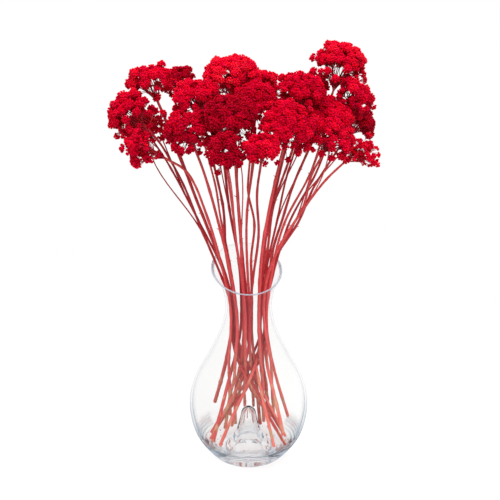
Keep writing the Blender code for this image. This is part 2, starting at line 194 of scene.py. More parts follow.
class Nodes:
    """A shader or geometry node tree."""

    def __init__(self, tree):
        self.tree = tree
        self.tree.nodes.clear()

    def node(self, kind, settings=None, sockets=None, output=0):
        """Add a node: its settings first, then the values or links of its sockets."""
        made = self.tree.nodes.new(kind)
        for name, value in (settings or {}).items():
            setattr(made, name, value)
        for key, value in (sockets or {}).items():
            if isinstance(value, Value):
                self.tree.links.new(value.socket, made.inputs[key])
            else:
                made.inputs[key].default_value = value
        return Value(self, made.outputs[output]) if len(made.outputs) else made

    def mix(self, factor, first, second, blend_type="MIX"):
        """Blend two colours."""
        pair = [value if isinstance(value, Value) else (*value, 1) for value in (first, second)]
        return self.node("ShaderNodeMix", {"data_type": "RGBA", "blend_type": blend_type}, {
            0: factor, 6: pair[0], 7: pair[1]}, 2)

    def blend(self, factor, first, second):
        """Blend two shaders."""
        return self.node("ShaderNodeMixShader", None, {0: factor, 1: first, 2: second})

    def principled(self, sockets):
        return self.node("ShaderNodeBsdfPrincipled", None, sockets)

    def surface(self, shader):
        """End a material."""
        self.node("ShaderNodeOutputMaterial", None, {"Surface": shader})

    def spot(self):
        """The place on the object that is being shaded."""
        return self.node("ShaderNodeTexCoord").output("Object")

    def attribute(self, name):
        """A number that the mesh carries, read in a material."""
        return self.node("ShaderNodeAttribute", {"attribute_name": name}).output("Fac")

    def step(self, value, low, high):
        """0 below low, 1 above high, and a smooth rise between."""
        return self.node("ShaderNodeMapRange", {"interpolation_type": "SMOOTHSTEP"}, {
            "Value": value, "From Min": low, "From Max": high})

    def noise(self, vector, scale, detail=2.0, roughness=0.5):
        return self.node("ShaderNodeTexNoise", None, {
            "Vector": vector, "Scale": scale, "Detail": detail, "Roughness": roughness})

    def bands(self, vector, scale, distortion, detail_scale):
        """Wavy bands, one above the other."""
        return self.node("ShaderNodeTexWave", {"bands_direction": "Z", "wave_profile": "SIN"}, {
            "Vector": vector, "Scale": scale, "Distortion": distortion, "Detail": 1.0,
            "Detail Scale": detail_scale}, 1)

    def bump(self, height, strength, distance):
        return self.node("ShaderNodeBump", None, {
            "Height": height, "Strength": strength, "Distance": distance})

    def vector(self, operation, first, sockets, output=0):
        return self.node("ShaderNodeVectorMath", {"operation": operation}, {0: first, **sockets}, output)

    def random(self, low, high, seed):
        """A number between two others, different at each point."""
        return self.node("FunctionNodeRandomValue", {"data_type": "FLOAT"}, {
            2: low, 3: high, "Seed": seed}, 1)

    def named(self, name, data_type="FLOAT"):
        """What the points carry under a name."""
        return self.node("GeometryNodeInputNamedAttribute", {"data_type": data_type}, {"Name": name})

    def stored(self, geometry, name, value, data_type="FLOAT"):
        """Let the points carry a value under a name."""
        return self.node("GeometryNodeStoreNamedAttribute", {"data_type": data_type, "domain": "POINT"}, {
            "Geometry": geometry, "Name": name, "Value": value})

    def finished(self, geometry, finish):
        """End a growth: real geometry with its material."""
        geometry = self.node("GeometryNodeRealizeInstances", None, {"Geometry": geometry})
        geometry = self.node("GeometryNodeSetMaterial", None, {"Geometry": geometry, "Material": finish})
        self.node("NodeGroupOutput", None, {"Geometry": geometry})
        return self.tree


def new_material(name):
    """A material with an empty tree."""
    material = bpy.data.materials.new(name)
    material.use_nodes = True
    return material, Nodes(material.node_tree)


def new_growth(name, inputs):
    """A geometry node tree with named inputs: a number each, or None for a material."""
    kinds = {float: "NodeSocketFloat", int: "NodeSocketInt", type(None): "NodeSocketMaterial"}
    tree = bpy.data.node_groups.new(name, "GeometryNodeTree")
    for way in ("OUTPUT", "INPUT"):
        tree.interface.new_socket("Geometry", in_out=way, socket_type="NodeSocketGeometry")
    for label, default in inputs.items():
        socket = tree.interface.new_socket(label, in_out="INPUT", socket_type=kinds[type(default)])
        socket.default_value = default
    nodes = Nodes(tree)
    return nodes, nodes.node("NodeGroupInput")


def add_object(name, data):
    """A new object in the scene."""
    made = bpy.data.objects.new(name, data)
    bpy.context.collection.objects.link(made)
    return made


def grow(name, data, growth, inputs):
    """Run a geometry node tree on a mesh or curve and return the result as a plain mesh object."""
    seedling = add_object(name + "_seedling", data)
    modifier = seedling.modifiers.new("growth", "NODES")
    identifiers = {item.name: item.identifier for item in growth.interface.items_tree}
    modifier.node_group = growth
    for label, value in inputs.items():
        modifier[identifiers[label]] = value
    graph = bpy.context.evaluated_depsgraph_get()
    mesh = bpy.data.meshes.new_from_object(
        seedling.evaluated_get(graph), preserve_all_data_layers=True, depsgraph=graph)
    mesh.name = name
    seedling.modifiers.clear()
    bpy.data.objects.remove(seedling, do_unlink=True)
    if not len(mesh.polygons):
        raise RuntimeError(f"{name} came out empty")
    return add_object(name, mesh)


def place(piece, slot, *replaced):
    """Hang a finished piece on the frame."""
    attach(piece, "root")
    if replaced:
        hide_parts(*replaced)


# ---- reading the frame

def unit(vectors):
    vectors = np.asarray(vectors, dtype=float)
    return vectors / np.linalg.norm(vectors, axis=-1, keepdims=True)


def across(axis):
    """Two directions square to an axis and to each other."""
    side = unit(np.cross(axis, (0.3, 1, 0.1)))
    return side, np.cross(axis, side)


def between(turn, side, other):
    """The direction at an angle from one direction towards another."""
    return math.cos(turn) * side + math.sin(turn) * other


def merged(node):
    """Points and triangles of a CAD node, with its loose triangles joined."""
    shape = bmesh.new()
    shape.from_mesh(frame["nodes"][node].data)
    bmesh.ops.remove_doubles(shape, verts=shape.verts, dist=1e-6)
    shape.verts.index_update()
    points = np.array([corner.co[:] for corner in shape.verts])
    faces = np.array([[corner.index for corner in face.verts] for face in shape.faces])
    shape.free()
    return points, faces


def stalk_line(node):
    """Middles and radii of the six-sided rings that a stalk's solid is made of, from the foot up."""
    points, _ = merged(node)
    sides = 6
    if len(points) % sides:
        raise RuntimeError(f"{node} isn't made of six-sided rings")
    upward = points[points[:, 2].argmax()] - points[points[:, 2].argmin()]
    order = np.argsort(points @ upward)
    rings = points[order].reshape(-1, sides, 3)
    middles = rings.mean(axis=1)
    return middles, np.linalg.norm(rings - middles[:, None], axis=2).mean(axis=1)


class Head:
    """Where a flower head's joint, middle and top lie."""

    def __init__(self, number, stalk_top):
        self.number = number
        points, faces = merged("flower_head_" + number)
        corners = points[faces]
        normals = np.cross(corners[:, 1] - corners[:, 0], corners[:, 2] - corners[:, 0])
        areas = np.linalg.norm(normals, axis=1)
        normals /= areas[:, None]
        joint_reach = 3.5 * MM
        near = np.linalg.norm(points - stalk_top, axis=1) < joint_reach
        self.joint = points[near].mean(axis=0)
        outward = unit(corners.mean(axis=1) - self.joint)
        least_cosine = 0.3
        top = (normals * outward).sum(axis=1) > least_cosine
        self.facing = unit((normals[top] * areas[top, None]).sum(axis=0))
        self.corners = corners[top]
        self.areas = areas[top]
        every_corner = self.corners.reshape(-1, 3)
        self.middle = every_corner.mean(axis=0)
        self.radius = np.linalg.norm(every_corner - self.middle, axis=1).max()


# ---- the flower heads

def cluster_places(head, spacing, rng):
    """Points spread over the top of a head, no closer than the spacing, with the way each one faces."""
    tries = 2500
    chances = head.areas / head.areas.sum()
    picks = rng.choice(len(chances), size=tries, p=chances)
    a, b = rng.random((2, tries, 1))        # shares of two sides, for a place in each triangle
    flip = a + b > 1
    a, b = np.where(flip, 1 - a, a), np.where(flip, 1 - b, b)
    p, q, r = (head.corners[picks, n] for n in range(3))
    chosen = []
    for spot in p + a * (q - p) + b * (r - p):
        if all(np.linalg.norm(spot - other) > spacing for other in chosen):
            chosen.append(spot)
    chosen = np.array(chosen)
    heart = head.middle - 0.55 * head.radius * head.facing      # what the clusters face away from
    return chosen, unit(unit(chosen - heart) + 0.35 * head.facing)


class Cluster:
    """One dome of florets: its middle, facing, size, the branch end below it and its shade."""

    def __init__(self, middle, facing, radius, depth, shade):
        self.middle = middle
        self.facing = facing
        self.radius = radius
        self.base = middle - depth * MM * facing
        self.shade = shade


def keep_inside(head, middle, radius):
    """Draw a cluster towards the head's axis, so that it stands no wider than the head."""
    offset = middle - head.middle
    rise = (offset @ head.facing) * head.facing
    sideways = offset - rise
    farthest = head.radius - 0.75 * radius
    return head.middle + rise + sideways * min(1, farthest / np.linalg.norm(sideways))


def make_clusters(head, settings, rng):
    """Spread the clusters of one head: a lumpy canopy, and smaller clusters that hang at its rim."""
    loose = head.number in LOOSE_HEADS
    tone_and_painted_light = TONES_AND_PAINTED_LIGHT[int(head.number) - 1]
    spacing = settings.cluster_spacing * (0.8 if loose else 1)
    lump_width, lump_height = 17 * MM, 9 * MM
    clusters = []
    for spot, facing in zip(*cluster_places(head, spacing, rng)):
        swell = noise.noise(Vector(spot / lump_width + 3.7 * int(head.number)))
        facing = unit(facing + rng.normal(0, 0.2, 3))
        radius = settings.cluster_radius * rng.uniform(*TOP_SIZES) * LOOSE_HEADS.get(head.number, 1)
        lift = rng.normal(0, 1.4) * MM + lump_height * swell - 0.95 * radius
        middle = keep_inside(head, spot + lift * facing, radius)
        if loose:
            middle = head.joint + (middle - head.joint) * rng.uniform(0.38, 0.95)
        # Painted light and shade: lower lumps are painted darker and higher ones lighter.
        shade = float(np.clip(tone_and_painted_light + 0.25 * swell + rng.normal(0, 0.09), 0, 1))
        clusters.append(Cluster(middle, facing, radius, rng.uniform(*BASE_DEPTHS), shade))
    side, other = across(head.facing)
    rise = (head.middle - head.joint) @ head.facing
    looser, rim_at = 1.35, 0.77         # spacing over the usual one, and the rim's place over the radius
    step = looser * settings.cluster_spacing / (rim_at * head.radius)
    for low, high, near, far in RIM_BANDS[:RIM_ROWS[int(head.number) - 1]]:
        for turn in np.arange(0, math.tau, step) + rng.uniform(0, 1):
            outward = between(turn, side, other)
            middle = head.joint + rise * rng.uniform(low, high) * head.facing
            middle += outward * head.radius * rng.uniform(near, far)
            facing = unit(outward + rng.uniform(-0.2, 0.6) * head.facing)
            radius = settings.cluster_radius * rng.uniform(*RIM_SIZES)
            # Painted shade: the clusters at the rim, under the canopy, are painted darker than the head's
            # tone.
            clusters.append(Cluster(middle, facing, radius, rng.uniform(*BASE_DEPTHS), 0.8 * tone_and_painted_light))
    return clusters


def dome_mesh(name, clusters):
    """Low closed domes that the florets are scattered over, one for each cluster."""
    tilts = np.radians([32, 66, 100])
    turns = np.linspace(0, math.tau, 6, endpoint=False)
    count = len(turns)
    # Painted light and shade: how much darker each dome is painted, lighter at the crown, darker on the
    # rings below it, and plain underneath.
    painted_shade_by_ring = np.repeat([-0.05, -0.03, 0.02, 0.09, 0], [1, count, count, count, 1])
    points, faces, crown, bases, shades = [], [], [], [], []
    for cluster in clusters:
        side, other = across(cluster.facing)
        start = len(points)
        points.append(cluster.middle + DOME_RISE * cluster.radius * cluster.facing)
        for tilt in tilts:
            for turn in turns:
                spread = math.sin(tilt) * between(turn, side, other)
                rise = DOME_RISE * math.cos(tilt) * cluster.facing
                points.append(cluster.middle + cluster.radius * (spread + rise))
        for n in range(count):
            after = (n + 1) % count
            faces.append((start, start + 1 + n, start + 1 + after))
            for ring in range(len(tilts) - 1):
                low = start + 1 + ring * count
                faces.append((low + n, low + count + n, low + count + after, low + after))
            faces.append((low + count + n, len(points), low + count + after))
            crown += [1.0] * len(tilts) + [0.0]
        points.append(cluster.middle - DOME_DEPTH * cluster.radius * cluster.facing)
        bases += [cluster.base] * (len(points) - start)
        shades += list(cluster.shade - painted_shade_by_ring)
    mesh = bpy.data.meshes.new(name)
    mesh.from_pydata(points, [], faces)
    mesh.attributes.new("base", "FLOAT_VECTOR", "POINT").data.foreach_set("vector", np.ravel(bases))
    mesh.attributes.new("shade", "FLOAT", "POINT").data.foreach_set("value", shades)
    mesh.attributes.new("crown", "FLOAT", "FACE").data.foreach_set("value", crown)
    return mesh


def floret_kinds(size, material):
    """Three slightly different button florets, in a collection of their own."""
    kinds = bpy.data.collections.new("floret_kinds")
    rng = random.Random(3)
    sides = 6
    rings = ((0.46, -0.12), (0.43, 0.24))       # radius and height over the floret's size
    stem_depth, tip_height = 0.62, 0.42
    for kind in range(3):
        shape = bmesh.new()
        loops = []
        for radius, height in rings:
            loop = []
            for n in range(sides):
                turn = math.tau * n / sides
                wide = radius * rng.uniform(0.86, 1.1)
                high = height + rng.uniform(-0.06, 0.06)
                corner = (wide * math.cos(turn) * size, wide * math.sin(turn) * size, high * size)
                loop.append(shape.verts.new(corner))
            loops.append(loop)
        below, above = loops
        stem = shape.verts.new((0, 0, -stem_depth * size))
        tip = shape.verts.new((0, 0, tip_height * size))
        pairs = [(n - 1, n) for n in range(sides)]
        faces = [(below[b], below[a], stem) for a, b in pairs]
        faces += [(below[a], below[b], above[b], above[a]) for a, b in pairs]
        faces += [(above[a], above[b], tip) for a, b in pairs]
        for corners in faces:
            shape.faces.new(corners)
        mesh = bpy.data.meshes.new(f"floret_kind_{kind}")
        shape.to_mesh(mesh)
        shape.free()
        mesh.materials.append(material)
        kinds.objects.link(bpy.data.objects.new(mesh.name, mesh))
    return kinds


def scatter(nodes, points, kinds, rotation, size, seed):
    """One floret of any kind at every point."""
    last = len(kinds.objects) - 1
    kind = nodes.node("FunctionNodeRandomValue", {"data_type": "INT"}, {4: 0, 5: last, "Seed": seed}, 2)
    buttons = nodes.node("GeometryNodeCollectionInfo", {"transform_space": "ORIGINAL"}, {
        "Collection": kinds, "Separate Children": True, "Reset Children": True})
    return nodes.node("GeometryNodeInstanceOnPoints", None, {
        "Points": points, "Instance": buttons, "Pick Instance": True, "Instance Index": kind,
        "Rotation": rotation, "Scale": size})


def floret_growth(kinds):
    """Scatters florets over domes, and runs a thin pedicel from each floret down to its branch."""
    nodes, given = new_growth("florets_on_domes", {
        "Spacing": 0.0037, "Size": 1.0, "Sunk": 0.001, "Pedicel": 0.0003, "Seed": 0, "Finish": None})
    spacing, seed = given.output("Spacing"), given.output("Seed")
    points = nodes.node("GeometryNodeDistributePointsOnFaces", {"distribute_method": "POISSON"}, {
        "Mesh": given, "Selection": nodes.named("crown"), "Distance Min": spacing,
        "Density Max": 6 / (spacing * spacing), "Seed": seed})
    jitter = nodes.random(-0.8 * MM, 0.9 * MM, seed)
    offset = nodes.vector("SCALE", points.output("Normal"), {"Scale": jitter})
    tips = nodes.node("GeometryNodeSetPosition", None, {"Geometry": points, "Offset": offset})
    tips = nodes.stored(tips, "tip", nodes.node("GeometryNodeInputPosition"), "FLOAT_VECTOR")
    tone_and_painted_light = nodes.named("shade")
    tips = nodes.stored(tips, "shade", tone_and_painted_light + nodes.random(-0.09, 0.09, 5))

    rotation = points.output("Rotation")
    spin, nod = nodes.random(0.0, math.tau, 1), nodes.random(-0.35, 0.35, 2)
    for axis, angle in (((0, 0, 1), spin), ((1, 0, 0), nod)):
        turn = nodes.node("FunctionNodeAxisAngleToRotation", None, {"Axis": axis, "Angle": angle})
        rotation = nodes.node("FunctionNodeRotateRotation", {"rotation_space": "LOCAL"}, {
            "Rotation": rotation, "Rotate By": turn})
    size = nodes.random(0.78, 1.16, 3) * given.output("Size")
    whole = nodes.node("GeometryNodeJoinGeometry", None, {
        "Geometry": scatter(nodes, tips, kinds, rotation, size, 4)})

    normal = nodes.node("GeometryNodeInputNormal")
    inward = nodes.vector("SCALE", normal, {"Scale": 0 - given.output("Sunk")})
    cushion = nodes.node("GeometryNodeSetPosition", None, {"Geometry": given, "Offset": inward})
    # Painted light: the cushion seen in the gaps between florets is painted lighter than the florets,
    # against the shade there.
    cushion = nodes.stored(cushion, "shade", tone_and_painted_light + 0.1)

    thread = nodes.node("GeometryNodeMeshLine", None, {"Count": 2})
    threads = nodes.node("GeometryNodeInstanceOnPoints", None, {"Points": tips, "Instance": thread})
    threads = nodes.node("GeometryNodeRealizeInstances", None, {"Geometry": threads})
    which_end = nodes.node("GeometryNodeInputIndex") % 2
    end = nodes.node("ShaderNodeMix", {"data_type": "VECTOR"}, {
        0: which_end, 4: nodes.named("base", "FLOAT_VECTOR"), 5: nodes.named("tip", "FLOAT_VECTOR")}, 1)
    threads = nodes.node("GeometryNodeSetPosition", None, {"Geometry": threads, "Position": end})
    section = nodes.node("GeometryNodeCurvePrimitiveCircle", None, {
        "Resolution": 3, "Radius": given.output("Pedicel")})
    pedicels = nodes.node("GeometryNodeCurveToMesh", None, {
        "Curve": nodes.node("GeometryNodeMeshToCurve", None, {"Mesh": threads}),
        "Profile Curve": section, "Fill Caps": False})
    for part in (pedicels, cushion):
        nodes.tree.links.new(part.socket, whole.socket.node.inputs["Geometry"])
    return nodes.finished(whole, given.output("Finish"))


def crumb_growth(kinds):
    """Drops florets in any position on a surface."""
    nodes, given = new_growth("fallen_florets", {"Density": 5000.0, "Seed": 0, "Finish": None})
    points = nodes.node("GeometryNodeDistributePointsOnFaces", None, {
        "Mesh": given, "Density": given.output("Density"), "Seed": given.output("Seed")})
    any_way = nodes.node("FunctionNodeRandomValue", {"data_type": "FLOAT_VECTOR"}, {
        0: (0, 0, 0), 1: (math.tau, math.tau, math.tau), "Seed": 1})
    crumbs = scatter(nodes, points, kinds, any_way, nodes.random(0.25, 0.62, 2), 3)
    return nodes.finished(crumbs, given.output("Finish"))


def glass_floor_mesh():
    """The floor inside the carafe, a little above the glass, where crumbs come to rest."""
    profile = [(30, 24.2), (45, 21.2), (60, 26.0)]
    turns = np.linspace(0, math.tau, 32, endpoint=False)
    points = [(r * math.cos(t) * MM, r * math.sin(t) * MM, z * MM) for r, z in profile for t in turns]
    count = len(turns)
    faces = [(ring * count + n, (ring + 1) * count + n, (ring + 1) * count + (n + 1) % count,
              ring * count + (n + 1) % count) for ring in range(len(profile) - 1) for n in range(count)]
    mesh = bpy.data.meshes.new("glass_floor")
    mesh.from_pydata(points, [], faces)
    return mesh


# ---- stalks and branches

def bend(start, start_way, end, end_way, count, leave=0.38, arrive=0.42):
    """Points of a smooth bend that leaves one point and reaches another in given directions."""
    reach = np.linalg.norm(end - start)
    t = np.linspace(0, 1, count)[:, None]
    second = start + leave * reach * start_way
    third = end - arrive * reach * end_way
    return ((1 - t) ** 3 * start + 3 * (1 - t) ** 2 * t * second
            + 3 * (1 - t) * t ** 2 * third + t ** 3 * end)


def add_spline(curve, points, radii):
    spline = curve.splines.new("POLY")
    spline.points.add(len(points) - 1)
    for spot, radius, point in zip(points, radii, spline.points):
        point.co = (*spot, 1)
        point.radius = radius


def new_curve(name):
    curve = bpy.data.curves.new(name, "CURVE")
    curve.dimensions = "3D"
    return curve


def branch_curve(head, clusters, stalk_way, stalk_radius, thickness, rng):
    """Branches of one head: a few leave the stalk's tip and fork towards the clusters."""
    curve = new_curve("branches")
    bases = np.array([cluster.base for cluster in clusters])
    spread = bases - head.joint
    flat = spread - (spread @ head.facing)[:, None] * head.facing
    side, other = across(head.facing)
    order = np.argsort(np.arctan2(flat @ other, flat @ side))
    for group in np.array_split(order, max(4, round(len(order) / CLUSTERS_A_BRANCH))):
        if not len(group):
            continue
        aim = bases[group].mean(axis=0)
        below = max(0.0, (head.joint - aim) @ stalk_way + 14 * MM)
        start = head.joint - stalk_way * (below + rng.uniform(0, 9) * MM)
        fork = start + (aim - start) * rng.uniform(0.42, 0.58)
        fork += 0.06 * np.linalg.norm(aim - start) * stalk_way
        way = unit(unit(aim - start) + 0.25 * head.facing)
        thick = thickness / 2 * rng.uniform(0.8, 1.1)
        line = bend(start, unit(stalk_way + 0.55 * unit(aim - start)), fork, way, count=7)
        add_spline(curve, line, np.linspace(min(thick * 1.15, stalk_radius), thick * 0.8, len(line)))
        for member in group:
            line = bend(fork, way, clusters[member].base, clusters[member].facing, count=6)
            add_spline(curve, line, np.linspace(thick * 0.72, thick * 0.42, len(line)))
    return curve


def stalk_curve(middles, radii, clusters, rng):
    """A stalk with swollen joints, the stubs of its fallen leaves, and on some a thin side shoot."""
    curve = new_curve("line")
    line, thick = smooth_between(middles, radii, 6)
    steps = np.linalg.norm(np.diff(line, axis=0), axis=1)
    along = np.concatenate([[0], np.cumsum(steps)])
    joints = np.arange(rng.uniform(30, 70) * MM, along[-1] - 20 * MM, rng.uniform(58, 85) * MM)
    line = line + wander(line, along, joints, rng)
    swelling, swollen_over = 0.22, 4 * MM
    for joint in joints:
        thick = thick * (1 + swelling * np.exp(-((along - joint) / swollen_over) ** 2))
    add_spline(curve, line, thick)
    for number, joint in enumerate(joints):
        index = int(np.searchsorted(along, joint))
        way = unit(line[index + 1] - line[index - 1])
        outward = between(LEAF_TURN * number + rng.uniform(0, 1), *across(way))
        if line[index][2] > STUBS_FROM and rng.random() < STUB_CHANCE:
            tip = line[index] + thick[index] * outward
            tip = tip + rng.uniform(2, 4.5) * MM * unit(way + 0.9 * outward)
            add_spline(curve, [line[index], tip], [0.8 * MM, 0.4 * MM])
    index = int(np.searchsorted(along, along[-1] * rng.uniform(0.62, 0.80)))
    way = unit(line[index + 1] - line[index - 1])
    goal = clusters[int(rng.integers(len(clusters)))]
    nearly_straight = 0.985
    if unit(goal.base - line[index]) @ way > nearly_straight:
        shoot = bend(line[index], way, goal.base, goal.facing, count=14)
        add_spline(curve, shoot, np.linspace(1.25, 0.7, len(shoot)) * MM)
    return curve


def wander(line, along, joints, rng):
    """How far a stalk strays to either side, joint by joint: not at all below the mouth or at its head."""
    side, other = across(unit(line[-1] - line[0]))
    marks = np.concatenate([[0], joints, along[-1:]])
    strays = rng.normal(0, SWAY, (len(marks), 2)) * MM
    strays[np.interp(marks, along, line[:, 2]) < SWAY_FROM] = 0
    strays[-1] = 0
    before = np.clip(np.searchsorted(marks, along, side="right") - 1, 0, len(marks) - 2)
    share = (along - marks[before]) / (marks[before + 1] - marks[before])
    share = (share * share * (3 - 2 * share))[:, None]
    stray = strays[before] * (1 - share) + strays[before + 1] * share
    return stray[:, :1] * side + stray[:, 1:] * other


def smooth_between(points, values, count):
    """A smooth (Catmull-Rom) line through points, with values read along it."""
    p = np.vstack([2 * points[0] - points[1], points, 2 * points[-1] - points[-2]])
    t = np.linspace(0, 1, count, endpoint=False)[:, None]
    line, read = [], []
    for n in range(len(points) - 1):
        a, b, c, d = p[n:n + 4]
        line.append(0.5 * (2 * b + (c - a) * t + (2 * a - 5 * b + 4 * c - d) * t ** 2
                           + (3 * b - a - 3 * c + d) * t ** 3))
        read.append(values[n] + (values[n + 1] - values[n]) * t[:, 0])
    return np.vstack(line + [points[-1:]]), np.concatenate(read + [values[-1:]])


def stalk_growth():
    """Sweeps a ribbed section along curves whose radius swells a little at random."""
    nodes, given = new_growth("ribbed_stalk", {
        "Ribs": 7, "Rib depth": 0.09, "Dye": 0.5, "Step": 0.004, "Finish": None})
    line = nodes.node("GeometryNodeResampleCurve", {"mode": "LENGTH"}, {
        "Curve": given, "Length": given.output("Step")})
    spot = nodes.node("GeometryNodeInputPosition")
    swell = 0.72 + nodes.noise(spot, 90.0) * 0.44
    section = nodes.node("GeometryNodeCurvePrimitiveCircle", None, {
        "Resolution": given.output("Ribs") * 2, "Radius": 1.0})
    groove = nodes.node("GeometryNodeInputIndex") % 2
    ribbed = nodes.vector("SCALE", spot, {"Scale": 1 - groove * given.output("Rib depth")})
    section = nodes.node("GeometryNodeSetPosition", None, {"Geometry": section, "Position": ribbed})
    swept = nodes.node("GeometryNodeCurveToMesh", None, {
        "Curve": line, "Profile Curve": section, "Scale": nodes.node("GeometryNodeInputRadius") * swell,
        "Fill Caps": True})
    return nodes.finished(nodes.stored(swept, "dye", given.output("Dye")), given.output("Finish"))


# ---- finishes

def floret_finish(colours):
    """Matt dyed florets, granular, with pale flecks; their colour follows the shade they carry, which holds
    painted light and shade as well as dye: brighter on the crowns of the clusters, deeper down their sides.
    """
    material, nodes = new_material("dyed_floret")
    spot = nodes.spot()
    shade = nodes.attribute("shade")
    patches = nodes.noise(spot, 55.0, 3.0)
    grain = nodes.noise(spot, 1500.0)
    # The shade holds the dye together with painted light and shade.
    amount = nodes.step(shade + (patches - 0.5) * 0.9 + (grain - 0.5) * 0.2, -0.25, 1.05)
    colour = nodes.mix(amount, colours.floret_deep, colours.floret_bright)
    pale = nodes.step(grain * 0.6 + shade * 0.3, 0.52, 0.72) * 0.3
    colour = nodes.mix(pale, colour, (0.92, 0.09, 0.07))
    nodes.surface(nodes.principled({
        "Base Color": colour, "Roughness": 0.62 + patches * 0.25, "Specular IOR Level": 0.05,
        "Sheen Weight": 0.12, "Sheen Roughness": 0.5, "Sheen Tint": (1.0, 0.02, 0.03, 1),
        "Subsurface Weight": 0.75, "Subsurface Radius": (1.0, 0.1, 0.12), "Subsurface Scale": 2.2 * MM,
        "Normal": nodes.bump(grain, 0.25, 0.5 * MM)}))
    return material


def stem_finish(name, colours, light, deep):
    """Dyed dried stem: streaks along it, paler at the foot, with bare greenish patches low down."""
    material, nodes = new_material(name)
    spot = nodes.spot()
    height = nodes.node("ShaderNodeSeparateXYZ", None, {0: spot}).output("Z")
    drawn_out = nodes.vector("MULTIPLY", spot, {1: (1, 1, 0.08)})
    streaks = nodes.noise(drawn_out, 520.0, 3.0, 0.6)
    patches = nodes.noise(spot, 26.0, 3.0)
    grain = nodes.noise(spot, 900.0, 3.0, 0.65)
    amount = nodes.attribute("dye")
    low = 1 - nodes.step(height + (patches - 0.5) * 0.10, 0.05, 0.24)
    red = nodes.mix(nodes.step(amount + (patches - 0.5) * 0.5, 0.0, 1.0), deep, light)
    fading = low * (nodes.step(amount + (patches - 0.5) * 0.6, 0.2, 0.7) * 0.7 + 0.3)
    red = nodes.mix(fading, red, colours.stalk_foot)
    bare = nodes.step(nodes.noise(drawn_out, 110.0), 0.48, 0.62) * low * 0.8
    red = nodes.mix(bare, red, colours.bare_stem)
    # Painted light and shade: the stem is painted darker between its streaks, and the palest streaks are
    # painted highlights.
    lit = nodes.mix(nodes.step(streaks, 0.30, 0.75), (0.68, 0.46, 0.48), (1.0, 1.0, 1.0))
    colour = nodes.mix(0.75, red, lit, "MULTIPLY")
    colour = nodes.mix(nodes.step(streaks + grain * 0.25, 0.74, 0.92) * 0.4, colour, (0.75, 0.25, 0.24))
    nodes.surface(nodes.principled({
        "Base Color": colour, "Roughness": 0.5 + streaks * 0.3, "Specular IOR Level": 0.35,
        "Normal": nodes.bump(streaks + grain * 0.4, 0.5, 0.35 * MM)}))
    return material


def glass_finish(colours):
    """Clear glass: it refracts in the foot, the punt and the rim, and is a thin pane between them; painted
    reflection marks the pane's edges, the lines round the foot and much of the lip.
    """
    material, nodes = new_material("clear_glass")
    spot = nodes.spot()
    edge = nodes.node("ShaderNodeLayerWeight", None, {"Blend": 0.35}).output("Facing")
    apart = nodes.node("ShaderNodeSeparateXYZ", None, {0: spot})
    height = apart.output("Z")
    lip = nodes.attribute("lip")
    behind = nodes.step(apart.output("Y"), 0.005, 0.035)

    # The thick glass: blue-grey towards its edges, with painted refraction lines in blue-grey round the
    # foot, and pinkish grey low down.
    colour = nodes.mix(nodes.step(edge, 0.20, 0.95), colours.glass, colours.glass_edge)
    foot = 1 - nodes.step(height, 0.030, 0.075)
    # Painted refraction: blue-grey bands round the foot, strongest towards its edges.
    painted_refraction_bands = nodes.bands(spot, 70.0, 1.6, 1.5)
    streaks = foot * nodes.step(edge, 0.08, 0.55) * nodes.step(painted_refraction_bands, 0.42, 0.75)
    colour = nodes.mix(streaks, colour, (0.26, 0.42, 0.54))
    # Pinkish grey on the underside, below about three centimetres.
    tinted_below = 1 - nodes.step(height, 0.022, 0.034)
    colour = nodes.mix(tinted_below * 0.8, colour, (0.93, 0.895, 0.89))
    ripples = nodes.noise(spot, 14.0, 1.0)
    waves = ripples + nodes.bands(spot, 42.0, 2.5, 2.0) * foot * 0.5
    glass = nodes.principled({
        "Base Color": colour, "Roughness": 0.0, "IOR": 1.47, "Specular IOR Level": 0.28,
        "Transmission Weight": 1.0, "Normal": nodes.bump(waves, 0.12, 2 * MM)})
    # Painted reflection: much of the lip is an opaque blue-grey sheet, less of it at the back, standing in
    # for the light that the glass carries round its lip.
    painted_lip_colour = nodes.mix(ripples, (0.40, 0.48, 0.58), (0.58, 0.65, 0.74))
    rim = nodes.principled({"Base Color": painted_lip_colour, "Roughness": 0.12, "Coat Weight": 0.6})
    glass = nodes.blend(lip * (0.75 - behind * 0.6), glass, rim)

    # The thin pane: clear, with a painted reflection at its edges, a soft pale sheet that is darker low
    # down, and a faint painted haze all over.
    clear = nodes.node("ShaderNodeBsdfTransparent", None, {"Color": (0.983, 0.983, 0.981, 1)})
    low = 1 - nodes.step(height, 0.05, 0.13)
    painted_reflection_veil = nodes.principled({
        "Base Color": nodes.mix(low, (0.66, 0.69, 0.72), (0.24, 0.31, 0.39)), "Roughness": 0.15})
    pane = nodes.blend(nodes.step(edge, 0.45, 1.0) * (low * 0.5 + 0.22) + 0.016, clear, painted_reflection_veil)

    # The pane lies above the foot and outside the punt, and the lamps shine through it all.
    around = nodes.vector("LENGTH", nodes.vector("MULTIPLY", spot, {1: (1, 1, 0)}), {}, "Value")
    wall = nodes.step(height, 0.028, 0.054) * nodes.step(around, 0.026, 0.028)
    glass = nodes.blend(wall * (1 - lip * (1 - behind * 0.75)), glass, pane)
    shadow = nodes.node("ShaderNodeLightPath").output("Is Shadow Ray")
    nodes.surface(nodes.blend(shadow, glass, clear))
    return material


# ---- the carafe

